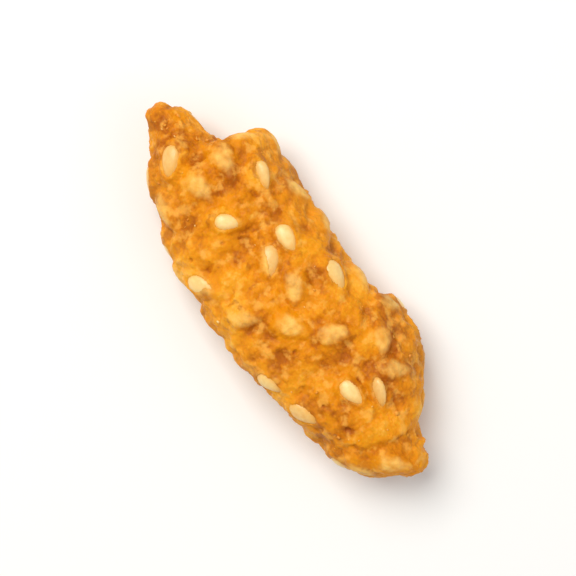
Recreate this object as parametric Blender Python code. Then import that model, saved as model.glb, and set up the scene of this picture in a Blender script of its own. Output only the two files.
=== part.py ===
"""One fried sesame stick: a stubby, flattened finger of wheat dough with sesame seeds in its crust.

The stick lies along X with its broad face up and its torn shoulder near the -X end. It is one solid: the
dough's outline and thickness come from a short table of stations, its folds and crags from noise, and its
seeds are fused to it. Lengths are in metres.
"""

import bmesh
import bpy
import numpy as np
from mathutils import Matrix, Vector

MM = 0.001

# Driving sizes of the whole stick.
LENGTH = 39.0 * MM
HALF_WIDTH = 6.0 * MM
HALF_THICKNESS = 4.1 * MM

# Lines of the dough, as a boat's are drawn: share of the length from the -X end, then the left and right
# edges of the broad face in half widths, and its top and underside in half thicknesses. The shoulder near the
# start is where the strand tore, and both ends lift off the table a little.
STATIONS = np.array(
    (
        # along   left  right    top  under
        (0.000, -0.22, +0.10, +0.42, -0.22),
        (0.035, -0.28, +0.22, +0.50, -0.38),
        (0.088, -0.45, +0.34, +0.62, -0.56),
        (0.146, -0.75, +0.49, +0.77, -0.74),
        (0.166, -0.79, +0.93, +0.80, -0.79),
        (0.225, -0.93, +1.02, +0.88, -0.90),
        (0.320, -1.05, +1.03, +0.97, -1.00),
        (0.440, -1.12, +1.03, +0.99, -1.00),
        (0.500, -1.10, +1.00, +1.01, -1.00),
        (0.560, -1.10, +1.01, +1.03, -1.00),
        (0.650, -1.00, +1.23, +1.05, -1.00),
        (0.720, -0.88, +1.26, +1.03, -0.98),
        (0.775, -0.84, +1.10, +0.99, -0.94),
        (0.836, -0.82, +0.85, +0.90, -0.86),
        (0.908, -0.56, +0.47, +0.74, -0.62),
        (0.960, -0.28, +0.40, +0.58, -0.36),
        (1.000, +0.05, +0.27, +0.44, -0.12),
    )
)
TIP_ROUND = 0.8 * MM
TOP_POWER, UNDER_POWER = 2.35, 2.0
# The sections lean to one side and back once along the stick: by how much, and where in that turn it starts.
LEAN, LEAN_START = 0.07, 0.9

# The flat that the fried stick rests on: this much of its underside is pressed level, with whatever comes
# within a hair of it, so that the stick doesn't rock.
FLAT_DEPTH, FLAT_MARGIN = 0.50 * MM, 0.05 * MM

# Relief of the crust: how far apart its forms lie and how deep they are. The folds run a little aslant and
# waver, and each rises slowly and drops at its crest. The broad face keeps only a share of the depth of the
# crags along the edges. The levels are the mean heights that are taken off, so that relief adds no thickness.
LUMP_SPAN, LUMP_DEPTH = 5.5 * MM, 0.50 * MM
FOLD_PITCH, FOLD_DEPTH, FOLD_SWAY = 3.3 * MM, 0.20 * MM, 7.0 * MM
FOLD_SLANT, FOLD_WAVER, FOLD_CREST, FOLD_LEVEL = 0.25, 0.8, 0.78, 0.4
PILLOW_SPAN, PILLOW_DEPTH, PILLOW_LEVEL = 2.1 * MM, 0.40 * MM, 0.35
CRAG_SPAN, CRAG_DEPTH, CRAG_LEVEL = 1.8 * MM, 0.60 * MM, 0.35
CRAG_SHARPNESS, FACE_SHARE = 1.4, 0.36
HOLLOW_WIDTH, HOLLOW_DEPTH = 2.2 * MM, 0.35 * MM
HOLLOW_WHOLE, HOLLOW_END = 9 * MM, 16 * MM
# Places in the noise, in its cells, from which the folds' waver, their patches and the crags are read.
WAVER_AT, PATCHES_AT, CRAGS_AT = 11.0, 23.0, 37.0

# Hulled sesame seeds, at real size, and the share of its width by which one narrows to its point.
SEED_LENGTH, SEED_WIDTH, SEED_THICKNESS = 2.85 * MM, 1.75 * MM, 1.00 * MM
NARROWING = 0.55

# How far the middle of a bare seed lies above its bed in the crust, and how far one that is rolled on to its
# edge sinks into it. A seed that the dough has wholly coated lies level with its bed.
BARE_LIFT = 0.16 * MM
EDGEWISE_SINK = 0.35 * MM

# The seeds that show on the broad face: along and across from the middle of the stick in millimetres, how far
# each is turned from the stick's length and rolled on to its edge in degrees, and how much of it is coated.
FACE_SEEDS = (
    (-14.7, -1.9, -34, 5, 0.0),
    (-11.4, -1.0, 10, 0, 1.0),
    (-12.2, 2.2, -34, 0, 0.8),
    (-9.4, 3.8, -13, 55, 0.0),
    (-7.7, -0.7, 56, 0, 0.4),
    (-3.8, 2.6, -6, -8, 0.1),
    (-3.0, 0.3, -34, 0, 0.5),
    (0.1, 0.7, -34, 6, 1.0),
    (1.1, 4.0, -8, -5, 0.0),
    (2.6, 5.7, -34, 0, 1.0),
    (-0.2, -4.1, 56, 0, 0.9),
    (2.6, -1.3, 25, 0, 1.0),
    (5.2, 1.4, 56, 0, 0.9),
    (7.9, 4.4, -34, 0, 0.8),
    (5.5, -5.4, 11, 0, 0.2),
    (9.3, -4.4, 22, 0, 0.2),
    (10.1, -0.2, 19, 4, 0.0),
    (11.4, 1.7, 0, 55, 0.2),
    (10.6, 4.0, 60, 0, 1.0),
    (17.0, -0.8, 30, 0, 0.6),
    (-12.8, 4.9, 62, 0, 0.7),
)
# The rest lie on the flanks and the underside: how many, how far apart and from the tips, the shares of that
# gap that each draws from, the angles round the stick, in radians, that they lie at, and how far their turn,
# roll and size spread. None lies where the crust under its middle stands out from that under its rim, or
# falls short of it, by more than BED_ROCK.
SCATTERED_SEEDS = 40
BED_ROCK = 0.30 * MM
SEED_GAP, SEED_TIP_GAP = 3.0 * MM, 2.2 * MM
GAP_LEAST, GAP_MOST = 0.75, 1.25
SCATTER_FROM, SCATTER_TO = 0.79 * np.pi, 2.21 * np.pi
TURN_SPREAD, ROLL_SPREAD = 38, 8
SMALLEST_SEED, LARGEST_SEED = 0.88, 1.08
SEED_DRAW = 7

# Mesh fineness of the solid: the step between rings, the rings over each rounded tip, the points of a ring,
# and the sides and rings of a seed.
ROW_STEP, TIP_ROWS, COLUMNS = 0.62 * MM, 3, 48
SEED_SIDES, SEED_RINGS = 6, 4

CRUST_COLOUR = (0.79, 0.30, 0.035, 1.0)

NOISE_CELLS = 256
rng = np.random.default_rng(20)
SHUFFLE = rng.permutation(NOISE_CELLS)
SLOPES = rng.normal(size=(NOISE_CELLS, 3))
SLOPES /= np.linalg.norm(SLOPES, axis=1, keepdims=True)
FEATURES = rng.random((NOISE_CELLS, 3))


def clear_scene():
    for old in list(bpy.data.objects):
        bpy.data.objects.remove(old, do_unlink=True)


def cell_number(cell):
    """A shuffled number for each whole-numbered lattice point."""
    x, y, z = np.moveaxis(cell % NOISE_CELLS, -1, 0)
    return SHUFFLE[(SHUFFLE[(SHUFFLE[x] + y) % NOISE_CELLS] + z) % NOISE_CELLS]


def soft_noise(points):
    """Gradient noise between about -1 and 1: a random slope at each lattice corner, blended across a cell."""
    base = np.floor(points).astype(int)
    part = points - base
    fade = part**3 * (part * (part * 6 - 15) + 10)
    total = np.zeros(points.shape[:-1])
    for corner in np.ndindex(2, 2, 2):
        near = np.where(corner, fade, 1 - fade).prod(axis=-1)
        slope = SLOPES[cell_number(base + corner)]
        total += near * (slope * (part - corner)).sum(axis=-1)
    return 1.6 * total


def nearest_feature(points):
    """Distance to the nearest of the random points that lie one to a cell, in cell widths."""
    base = np.floor(points).astype(int)
    nearest = np.full(points.shape[:-1], np.inf)
    for step in np.ndindex(3, 3, 3):
        cell = base + step - 1
        gap = cell + FEATURES[cell_number(cell)] - points
        nearest = np.minimum(nearest, (gap**2).sum(axis=-1))
    return np.sqrt(nearest)


def smooth_step(low, high, value):
    share = np.clip((value - low) / (high - low), 0, 1)
    return share * share * (3 - 2 * share)


def through(column, along):
    """Curve through one column of the stations: cubic pieces that never swing past a station, because the
    slope there is the harmonic mean of the two chords that meet at it, or level where they disagree."""
    at, value = STATIONS[:, 0], STATIONS[:, column]
    chord = np.diff(value) / np.diff(at)
    before, after = chord[:-1], chord[1:]
    agree = before * after > 0
    slope = np.concatenate((chord[:1], np.zeros(len(before)), chord[-1:]))
    slope[1:-1][agree] = 2 * before[agree] * after[agree] / (before[agree] + after[agree])
    i = np.clip(np.searchsorted(at, along, side="right") - 1, 0, len(chord) - 1)
    span = at[i + 1] - at[i]
    s = (along - at[i]) / span
    rise = value[i] + (3 - 2 * s) * s * s * (value[i + 1] - value[i])
    return rise + span * s * (1 - s) * ((1 - s) * slope[i] - s * slope[i + 1])


def smooth_point(x, angle):
    """Point of the dough before its relief, at a distance along the stick and an angle round it.

    The section is a rounded rectangle, |cos|^p + |sin|^p = 1, stretched to the edges at that station, and an
    ellipse on the underside. Near either end it shrinks as a quarter circle does, which rounds the tip."""
    along = x / LENGTH
    left, right = through(1, along) * HALF_WIDTH, through(2, along) * HALF_WIDTH
    top, under = through(3, along) * HALF_THICKNESS, through(4, along) * HALF_THICKNESS
    from_tip = np.clip(np.minimum(x, LENGTH - x), 0, TIP_ROUND) / TIP_ROUND
    closing = np.sqrt(1 - (1 - from_tip) ** 2)
    across, upward = np.cos(angle), np.sin(angle)
    power = np.where(upward > 0, TOP_POWER, UNDER_POWER)
    reach = (np.abs(across) ** power + np.abs(upward) ** power) ** (-1 / power)
    y = (left + right) / 2 + closing * reach * across * (right - left) / 2
    z = (top + under) / 2 + closing * reach * upward * (top - under) / 2
    lean = LEAN * np.sin(2 * np.pi * along + LEAN_START)
    return np.stack((x - LENGTH / 2, y, z + lean * y), axis=-1)


def outward(x, angle):
    """Unit normal of the smooth dough, from two short steps along and round it."""
    reach, turn = 0.1 * MM, 0.01
    low, high = np.clip(x - reach, 0, LENGTH), np.clip(x + reach, 0, LENGTH)
    lengthwise = smooth_point(high, angle) - smooth_point(low, angle)
    round_it = smooth_point(x, angle + turn) - smooth_point(x, angle - turn)
    normal = np.cross(round_it, lengthwise)
    return normal / np.maximum(np.linalg.norm(normal, axis=-1, keepdims=True), 1e-12)


def relief(points, angle):
    """Height of the crust's relief at points of the smooth dough: broad lumps, folds that step across the
    strand, pillows of blistered dough, crags that are deepest along the two side edges, and a shallow hollow
    down the broad face."""
    lumps = LUMP_DEPTH * soft_noise(points / LUMP_SPAN)
    waver = FOLD_WAVER * soft_noise(points / FOLD_SWAY + WAVER_AT)
    step = (points[..., 0] + FOLD_SLANT * points[..., 1]) / FOLD_PITCH + waver
    climb = step - np.floor(step)
    patchy = smooth_step(-0.45, 0.45, soft_noise(points / FOLD_SWAY + PATCHES_AT))
    folds = FOLD_DEPTH * patchy * (climb * (1 - smooth_step(FOLD_CREST, 1.0, climb)) - FOLD_LEVEL)
    pillows = PILLOW_DEPTH * (PILLOW_LEVEL - nearest_feature(points / PILLOW_SPAN) ** 2)
    edge = FACE_SHARE + (1 - FACE_SHARE) * np.abs(np.cos(angle)) ** 5
    creases = CRAG_SHARPNESS * np.abs(soft_noise(points / CRAG_SPAN + CRAGS_AT))
    crags = CRAG_DEPTH * edge * (CRAG_LEVEL - creases)
    from_middle = smooth_step(HOLLOW_END, HOLLOW_WHOLE, np.abs(points[..., 0]))
    on_face = smooth_step(0.5, 0.95, np.sin(angle)) * from_middle
    hollow = -HOLLOW_DEPTH * on_face * np.exp(-((points[..., 1] / HOLLOW_WIDTH) ** 2))
    return lumps + folds + pillows + crags + hollow


def crust_point(x, angle):
    smooth = smooth_point(x, angle)
    return smooth + outward(x, angle) * relief(smooth, angle)[..., None]


def rows_along():
    """Distances of the mesh's rings from the -X end: even steps, and over each rounded tip even turns."""
    turn = np.linspace(0, np.pi / 2, TIP_ROWS + 1)[1:]
    tip = TIP_ROUND * (1 - np.cos(turn))
    steps = round((LENGTH - 2 * TIP_ROUND) / ROW_STEP)
    middle = np.linspace(TIP_ROUND, LENGTH - TIP_ROUND, steps + 1)[1:-1]
    return np.concatenate((tip, middle, LENGTH - tip[::-1]))


def make_crust():
    """The dough as one closed mesh: rings joined by faces, with a fan to the middle of the last ring at each
    tip, and a level flat where the relief reaches down to the floor."""
    angles = np.linspace(0, 2 * np.pi, COLUMNS, endpoint=False)
    x, angle = np.meshgrid(rows_along(), angles, indexing="ij")
    floor = crust_floor()
    places = crust_point(x, angle)
    places[..., 2] = np.where(places[..., 2] < floor + FLAT_MARGIN, floor, places[..., 2])
    shape = bmesh.new()
    rings = [[shape.verts.new(place) for place in ring] for ring in places]
    for this, following in zip(rings, rings[1:]):
        for i in range(COLUMNS):
            j = (i + 1) % COLUMNS
            shape.faces.new((this[i], following[i], following[j], this[j]))
    for ring, middle in ((rings[0], places[0].mean(axis=0)), (rings[-1], places[-1].mean(axis=0))):
        tip = shape.verts.new(middle)
        for i in range(COLUMNS):
            shape.faces.new((ring[i], ring[(i + 1) % COLUMNS], tip))
    bmesh.ops.triangulate(shape, faces=shape.faces[:])
    bmesh.ops.recalc_face_normals(shape, faces=shape.faces[:])
    mesh = bpy.data.meshes.new("sesame_stick")
    shape.to_mesh(mesh)
    shape.free()
    stick = bpy.data.objects.new("sesame_stick", mesh)
    bpy.context.scene.collection.objects.link(stick)
    return stick


def crust_floor():
    """Height of the flat underside: a little above the lowest point of the relief."""
    x, angle = np.meshgrid(rows_along(), np.linspace(np.pi, 2 * np.pi, COLUMNS), indexing="ij")
    return crust_point(x, angle)[..., 2].min() + FLAT_DEPTH


def angle_at(x, y):
    """Angle round the stick at which its broad face is y across from the middle."""
    angle = np.linspace(0.0, np.pi, 361)
    across = smooth_point(np.full_like(angle, x), angle)[:, 1]
    return angle[np.abs(across - y).argmin()]


def bed_points(x, angle, turn):
    """The crust's points under a seed's two ends, its two sides and its middle, its long axis turned from the
    strand's by turn."""
    turn, nudge = np.radians(turn), np.array((0, 0.01))
    start, stop = smooth_point(np.full(2, x), angle + nudge)
    per_turn = np.linalg.norm(stop - start) / nudge[1]
    ends = np.array((-1, 1, 0, 0, 0)) * SEED_LENGTH / 2
    sides = np.array((0, 0, -1, 1, 0)) * SEED_WIDTH / 2
    xs = np.clip(x + ends * np.cos(turn) + sides * np.sin(turn), 0, LENGTH)
    angles = angle + (sides * np.cos(turn) - ends * np.sin(turn)) / per_turn
    return crust_point(xs, angles)


def seed_place(points, roll, coat):
    """Matrix that beds a seed in the crust. The points of its bed give where it lies and how it is tilted. A
    bare seed is lifted off the bed, and one that is rolled on to its edge sinks into it."""
    roll = np.radians(roll)
    ahead = Vector(points[1] - points[0]).normalized()
    up = Vector(points[3] - points[2]).cross(ahead).normalized()
    lift = BARE_LIFT * (1 - coat) - EDGEWISE_SINK * np.sin(roll) ** 2
    middle = Vector(points.mean(axis=0)) + up * lift
    up = Matrix.Rotation(roll, 3, ahead) @ up
    return Matrix.Translation(middle) @ Matrix((ahead, up.cross(ahead), up)).transposed().to_4x4()


def reach_down(place):
    """How far below its middle a seed reaches: the half height of an ellipsoid that lies aslant."""
    half_sizes = np.array((SEED_LENGTH, SEED_WIDTH, SEED_THICKNESS)) / 2
    return np.linalg.norm(half_sizes * np.array(place)[2, :3])


def seed_places():
    """A matrix and a share of full size for each seed: first those of the broad face, then a random scatter
    over the rest that keeps its distance from every seed before it, off steps in the crust and off the flat
    underside."""
    places = []
    for along, across, turn, roll, coat in FACE_SEEDS:
        x = LENGTH / 2 + along * MM
        places.append(seed_place(bed_points(x, angle_at(x, across * MM), turn), roll, coat))
    draw = np.random.default_rng(SEED_DRAW)
    floor = crust_floor()
    while len(places) < len(FACE_SEEDS) + SCATTERED_SEEDS:
        x = draw.uniform(SEED_TIP_GAP, LENGTH - SEED_TIP_GAP)
        angle = draw.uniform(SCATTER_FROM, SCATTER_TO)
        turn, roll, coat = draw.normal(0, TURN_SPREAD), draw.normal(0, ROLL_SPREAD), draw.random()
        gap = SEED_GAP * draw.uniform(GAP_LEAST, GAP_MOST)
        points = bed_points(x, angle, turn)
        place = seed_place(points, roll, coat)
        middle = place.translation
        clear = min((middle - other.translation).length for other in places) > gap
        steady = np.linalg.norm(points[4] - points[:4].mean(axis=0)) < BED_ROCK
        if clear and steady and middle.z - reach_down(place) > floor:
            places.append(place)
    return [(place, draw.uniform(SMALLEST_SEED, LARGEST_SEED)) for place in places]


def make_seed(number, place, size):
    """A hulled sesame seed: an ellipsoid that narrows to a point at one end."""
    shape = bmesh.new()
    bmesh.ops.create_uvsphere(shape, u_segments=SEED_SIDES, v_segments=SEED_RINGS, radius=0.5)
    bmesh.ops.rotate(shape, verts=shape.verts[:], matrix=Matrix.Rotation(np.pi / 2, 3, "Y"))
    for corner in shape.verts:
        narrowing = 1 - NARROWING * (corner.co.x + 0.1)
        corner.co.x *= SEED_LENGTH * size
        corner.co.y *= SEED_WIDTH * size * narrowing
        corner.co.z *= SEED_THICKNESS * size * narrowing
    shape.transform(place)
    bmesh.ops.triangulate(shape, faces=shape.faces[:])
    bmesh.ops.recalc_face_normals(shape, faces=shape.faces[:])
    mesh = bpy.data.meshes.new(f"seed_{number}")
    shape.to_mesh(mesh)
    shape.free()
    return bpy.data.objects.new(f"seed_{number}", mesh)


def fuse_seeds(stick):
    """Joins the seeds to the crust by one union, so that the stick stays one solid."""
    seeds = bpy.data.collections.new("seeds")
    bpy.context.scene.collection.children.link(seeds)
    for number, (place, size) in enumerate(seed_places()):
        seeds.objects.link(make_seed(number, place, size))
    union = stick.modifiers.new("seeds", "BOOLEAN")
    union.operation = "UNION"
    union.operand_type = "COLLECTION"
    union.collection = seeds
    union.solver = "EXACT"
    graph = bpy.context.evaluated_depsgraph_get()
    fused = bpy.data.meshes.new_from_object(stick.evaluated_get(graph))
    stick.modifiers.clear()
    stick.data = fused
    drop_sealed_pockets(fused)
    for seed in list(seeds.objects):
        bpy.data.objects.remove(seed, do_unlink=True)
    bpy.data.collections.remove(seeds)


def drop_sealed_pockets(mesh):
    """Keeps only the largest shell, so that a pocket that a seed has closed over a hollow is filled."""
    shape = bmesh.new()
    shape.from_mesh(mesh)
    unreached = set(shape.verts)
    shells = []
    while unreached:
        fresh = [unreached.pop()]
        shell = list(fresh)
        while fresh:
            neighbours = {edge.other_vert(corner) for corner in fresh for edge in corner.link_edges}
            fresh = list(neighbours & unreached)
            unreached -= neighbours
            shell += fresh
        shells.append(shell)
    shells.sort(key=len)
    pockets = [corner for shell in shells[:-1] for corner in shell]
    bmesh.ops.delete(shape, geom=pockets, context="VERTS")
    shape.to_mesh(mesh)
    shape.free()


def stand_at_origin(stick):
    """Moves the mesh so that the middle of its box stands on the origin, at the table's height."""
    corners = np.array([corner.co for corner in stick.data.vertices])
    low, high = corners.min(axis=0), corners.max(axis=0)
    middle = (low + high) / 2
    stick.data.transform(Matrix.Translation((-middle[0], -middle[1], -low[2])))


def crust_material():
    """Deep-fried wheat dough: dry, golden and dull."""
    material = bpy.data.materials.new("fried_dough_crust")
    material.use_nodes = True
    shader = material.node_tree.nodes["Principled BSDF"]
    shader.inputs["Base Color"].default_value = CRUST_COLOUR
    shader.inputs["Roughness"].default_value = 0.6
    shader.inputs["Metallic"].default_value = 0.0
    return material


clear_scene()
sesame_stick = make_crust()
fuse_seeds(sesame_stick)
stand_at_origin(sesame_stick)
sesame_stick.data.materials.clear()
sesame_stick.data.materials.append(crust_material())
sesame_stick.data.shade_smooth()
sesame_stick.data.set_sharp_from_angle(angle=np.radians(50))
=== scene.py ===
"""Dresses the sesame stick: a fried crust in fine relief, its sesame seeds, and crumbs that cling to it.

Lengths are in metres. The crust is one surface over two parameters, the distance along the strand and the
angle round it. Its outline, folds and crags are those of the solid. Blisters, pits and grain are added
here, and the dough is drawn up round each seed or over it. It is worked out in the strand's own frame, with
the start tip at -X, and laid where the solid lies just before the meshes are made.
"""

from typing import NamedTuple

import bpy
import numpy as np
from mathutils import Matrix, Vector


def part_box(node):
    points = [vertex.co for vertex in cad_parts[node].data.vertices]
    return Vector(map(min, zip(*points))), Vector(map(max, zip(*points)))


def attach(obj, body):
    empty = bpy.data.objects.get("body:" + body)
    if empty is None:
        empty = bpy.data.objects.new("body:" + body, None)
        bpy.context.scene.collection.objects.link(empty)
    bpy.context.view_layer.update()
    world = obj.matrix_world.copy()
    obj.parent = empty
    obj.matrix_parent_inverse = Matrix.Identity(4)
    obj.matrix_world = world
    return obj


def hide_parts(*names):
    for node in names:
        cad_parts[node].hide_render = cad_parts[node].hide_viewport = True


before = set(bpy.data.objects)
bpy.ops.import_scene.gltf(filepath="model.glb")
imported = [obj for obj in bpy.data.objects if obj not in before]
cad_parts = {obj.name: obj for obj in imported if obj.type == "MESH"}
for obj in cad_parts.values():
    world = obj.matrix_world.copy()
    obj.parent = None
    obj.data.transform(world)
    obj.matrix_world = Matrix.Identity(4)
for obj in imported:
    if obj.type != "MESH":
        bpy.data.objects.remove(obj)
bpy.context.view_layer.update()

MM = 0.001

# The strand, as the solid has it.
LENGTH = 39.0 * MM
HALF_WIDTH = 6.0 * MM
HALF_THICKNESS = 4.1 * MM
# Share of the length, then left and right edges in half widths, and top and underside in half thicknesses.
STATIONS = np.array(
    (
        (0.000, -0.22, +0.10, +0.42, -0.22),
        (0.035, -0.28, +0.22, +0.50, -0.38),
        (0.088, -0.45, +0.34, +0.62, -0.56),
        (0.146, -0.75, +0.49, +0.77, -0.74),
        (0.166, -0.79, +0.93, +0.80, -0.79),
        (0.225, -0.93, +1.02, +0.88, -0.90),
        (0.320, -1.05, +1.03, +0.97, -1.00),
        (0.440, -1.12, +1.03, +0.99, -1.00),
        (0.500, -1.10, +1.00, +1.01, -1.00),
        (0.560, -1.10, +1.01, +1.03, -1.00),
        (0.650, -1.00, +1.23, +1.05, -1.00),
        (0.720, -0.88, +1.26, +1.03, -0.98),
        (0.775, -0.84, +1.10, +0.99, -0.94),
        (0.836, -0.82, +0.85, +0.90, -0.86),
        (0.908, -0.56, +0.47, +0.74, -0.62),
        (0.960, -0.28, +0.40, +0.58, -0.36),
        (1.000, +0.05, +0.27, +0.44, -0.12),
    )
)
TIP_ROUND = 0.8 * MM
TOP_POWER, UNDER_POWER = 2.35, 2.0
# The sections lean to one side and back once along the strand: how much, and where in that turn it starts.
LEAN, LEAN_START = 0.07, 0.9
# How much of the underside is pressed flat, and the mesh of the solid, which its lowest point depends on.
FLAT_DEPTH = 0.50 * MM
SOLID_ROW_STEP, SOLID_TIP_ROWS, SOLID_COLUMNS = 0.62 * MM, 3, 48

# Broad relief, as the solid has it: how far apart its forms lie and how deep they are. The folds run a
# little aslant and waver, and each rises slowly and drops at its crest. The broad face keeps only a share
# of the depth of the crags along the edges. The levels are the mean heights that are taken off, so that
# relief adds no thickness.
LUMP_SPAN, LUMP_DEPTH = 5.5 * MM, 0.50 * MM
FOLD_PITCH, FOLD_DEPTH, FOLD_SWAY = 3.3 * MM, 0.20 * MM, 7.0 * MM
FOLD_SLANT, FOLD_WAVER, FOLD_CREST, FOLD_LEVEL = 0.25, 0.8, 0.78, 0.4
PILLOW_SPAN, PILLOW_DEPTH, PILLOW_LEVEL = 2.1 * MM, 0.40 * MM, 0.35
CRAG_SPAN, CRAG_DEPTH, CRAG_LEVEL = 1.8 * MM, 0.60 * MM, 0.35
CRAG_SHARPNESS, FACE_SHARE = 1.4, 0.36
HOLLOW_WIDTH, HOLLOW_DEPTH = 2.2 * MM, 0.35 * MM
HOLLOW_WHOLE, HOLLOW_END = 9 * MM, 16 * MM

# Hulled sesame seeds, as the solid has them, and the share of its width by which one narrows to its point.
# The middle of a bare seed lies this far above its bed, and one that is rolled on to its edge sinks this
# far.
SEED_LENGTH, SEED_WIDTH, SEED_THICKNESS = 2.85 * MM, 1.75 * MM, 1.00 * MM
NARROWING = 0.55
BARE_LIFT, EDGEWISE_SINK = 0.16 * MM, 0.35 * MM
# Along and across the broad face in millimetres, turn and roll in degrees, and how much dough coats it.
FACE_SEEDS = (
    (-14.7, -1.9, -34, 5, 0.0),
    (-11.4, -1.0, 10, 0, 1.0),
    (-12.2, 2.2, -34, 0, 0.8),
    (-9.4, 3.8, -13, 55, 0.0),
    (-7.7, -0.7, 56, 0, 0.4),
    (-3.8, 2.6, -6, -8, 0.1),
    (-3.0, 0.3, -34, 0, 0.5),
    (0.1, 0.7, -34, 6, 1.0),
    (1.1, 4.0, -8, -5, 0.0),
    (2.6, 5.7, -34, 0, 1.0),
    (-0.2, -4.1, 56, 0, 0.9),
    (2.6, -1.3, 25, 0, 1.0),
    (5.2, 1.4, 56, 0, 0.9),
    (7.9, 4.4, -34, 0, 0.8),
    (5.5, -5.4, 11, 0, 0.2),
    (9.3, -4.4, 22, 0, 0.2),
    (10.1, -0.2, 19, 4, 0.0),
    (11.4, 1.7, 0, 55, 0.2),
    (10.6, 4.0, 60, 0, 1.0),
    (17.0, -0.8, 30, 0, 0.6),
    (-12.8, 4.9, 62, 0, 0.7),
)
# The rest lie on the flanks and the underside: how many, how far apart and from the tips, the shares of
# that gap that each draws from, the angles round the strand that they lie at, and how far their turn, roll
# and size spread. None lies where the crust under its middle stands out from that under its rim, or falls
# short of it, by more than BED_ROCK. The power raises their coats, which the solid draws evenly, because
# most seeds on the flanks are coated.
SCATTERED_SEEDS = 40
BED_ROCK = 0.30 * MM
SEED_GAP, SEED_TIP_GAP = 3.0 * MM, 2.2 * MM
GAP_LEAST, GAP_MOST = 0.75, 1.25
SCATTER_FROM, SCATTER_TO = 0.79 * np.pi, 2.21 * np.pi
TURN_SPREAD, ROLL_SPREAD = 38, 8
SMALLEST_SEED, LARGEST_SEED = 0.88, 1.08
SEED_DRAW = 7
FLANK_COAT_POWER = 0.6

# Mesh fineness of the crust: the steps that the finest blisters need, within 200,000 triangles.
ROW_STEP, TIP_ROWS, COLUMNS = 0.124 * MM, 10, 296

# Fine relief of the crust: how far apart its forms lie and how deep they are. Cobbles and granules take
# turns over the crust, in patches, and the crumbly swellings add up from three sizes.
CRUMBLE_SPAN, CRUMBLE_DEPTH, CRUMBLE_LEVEL = 0.90 * MM, 0.26 * MM, 0.25
CRUMBLE_SHARES = (0.42, 0.33, 0.25)
COBBLE_SPAN, COBBLE_DEPTH = 0.95 * MM, 0.20 * MM
GRANULE_SPAN, GRANULE_DEPTH, GRANULES_MOST = 0.50 * MM, 0.17 * MM, 1.2
PATCH_SPAN = 4.0 * MM
# Blisters and burst pits lie one to a cell. The radius of each, in cells, is the least plus its own lot of
# the spread. Only cells with a lot over PIT_LOT have a pit, and its wall runs between two shares of its
# radius.
BLISTER_SPAN, BLISTER_HEIGHT, BLISTER_POWER = 1.9 * MM, 0.16 * MM, 0.75
BLISTER_LEAST, BLISTER_SPREAD = 0.10, 0.16
PIT_SPAN, PIT_DEPTH, PIT_LOT = 2.1 * MM, 0.30 * MM, 0.45
PIT_LEAST, PIT_SPREAD, PIT_FADE = 0.06, 0.13, (1.0, 0.4)
WARP_SPAN, WARP_DEPTH = 0.50 * MM, 0.20 * MM
# How much calmer the fine relief is near a seed, and the deepest that it cuts, apart from pits: a share of
# the film over a hull, and this much more in the open.
CALM_BY_SEED, FILM_CUT, OPEN_CUT = 0.4, 0.6, 0.5 * MM
# The crust counts as wholly raised where it stands half of this range over its surroundings, which are its
# heights blurred over so many rows and columns.
RAISED_BLUR, RAISED_RANGE = 9, 0.80 * MM

# The dough round a seed: how thick it lies over a hull, how far it keeps under a bare one, and the collar
# that it forms round the rim, in half heights of the seed. It laps over the hull wherever that stands less
# than LAP above the collar. Over a coated seed it forms a mound, and MOUND_COATS are the coats at which
# that starts and is whole.
FILM, TUCK = 0.08 * MM, 0.09 * MM
COLLAR, LAP = 0.34, 0.06 * MM
MOUND_REACH, MOUND_POWER, MOUND_COATS = 1.4, 1.2, (0.2, 0.7)
# On a partly coated seed the dough comes in from one side as far as a shore. As the coat grows from the
# first share to the second, the shore moves from the first place to the second, where 1 is the rim on that
# side and -1 the far rim. It is soft over the blur to either side. A seed coated by BURIED or more shows no
# hull at all.
SHORE_COATS, SHORE_PLACES, SHORE_BLUR = (0.3, 0.65), (0.95, -0.45), 0.14
BURIED, BURIED_SHORE = 0.55, -2.0
# Radians from the side that one seed's dough comes in from to that of the next, so that no two look alike.
SHORE_TURN = 2.4
# Where each effect round a seed is gone and where it is whole, as shares of the way from its middle to its
# rim: the collar, the tilt of a rolled hull's top, the pull on the crust, the dough on the rim, the hold of
# an earlier seed, and the pale film. Nothing that lies too far above or below the bed is pulled.
COLLAR_FADE, TILT_FADE, PULL_FADE = (1.75, 1.0), (1.5, 0.9), (1.75, 1.02)
RIM_FADE, HOLD_FADE, FILM_FADE = (0.86, 0.98), (1.0, 1.25), (1.1, 0.45)
REACH_FADE = (1.5 * MM, 1.0 * MM)
# These edges waver: the span, depth and place in the noise of two sizes of waver, and how many times as
# much of it the shore, the pull and the film take as the dough on the rim does.
EDGE_WAVERS = ((0.75 * MM, 0.14, 5.0), (0.30 * MM, 0.04, 25.0))
SHORE_WAVER, PULL_WAVER, FILM_WAVER = 1.6, 1.5, 2.0
# How pale the film is: each seed's share, from the least up, and the thin places in it.
VEIL_LEAST, VEIL_SPREAD, GOLDEN = 0.78, 0.22, 0.618
THIN_SPAN, THIN_MEAN, THIN_DEPTH = 0.55 * MM, 0.75, 0.5

# Mesh of a seed that shows: its rings, the points of a ring, and how far short of the ends its first and
# last ring lie, as a share of half a turn. Then its lengthwise ridges, in shares of its girth, and its
# dents.
SEED_RINGS, SEED_SIDES, SEED_END = 19, 20, 0.03
RIDGES, RIDGE_HEIGHT = 7, 0.012
DENT_SPAN, DENT_DEPTH = 0.6 * MM, 0.02 * MM
TONE_DRAW = 3
# The rim turns a darker gold, partly as the hull's own thin edge and partly as painted shade on the sides
# that turn from the light, from none at the top of a hull to all at the second share of its height, and the
# point is toasted, from none at the first share of its half length to all at its tip. Both edges waver.
RIM_GOLD_AND_SHADE_FADE, TOAST_FADE = (1.0, 0.4), (0.45, 1.0)
SEED_WAVER_SPAN, SEED_WAVER_DEPTH = 0.35 * MM, 0.2

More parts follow.
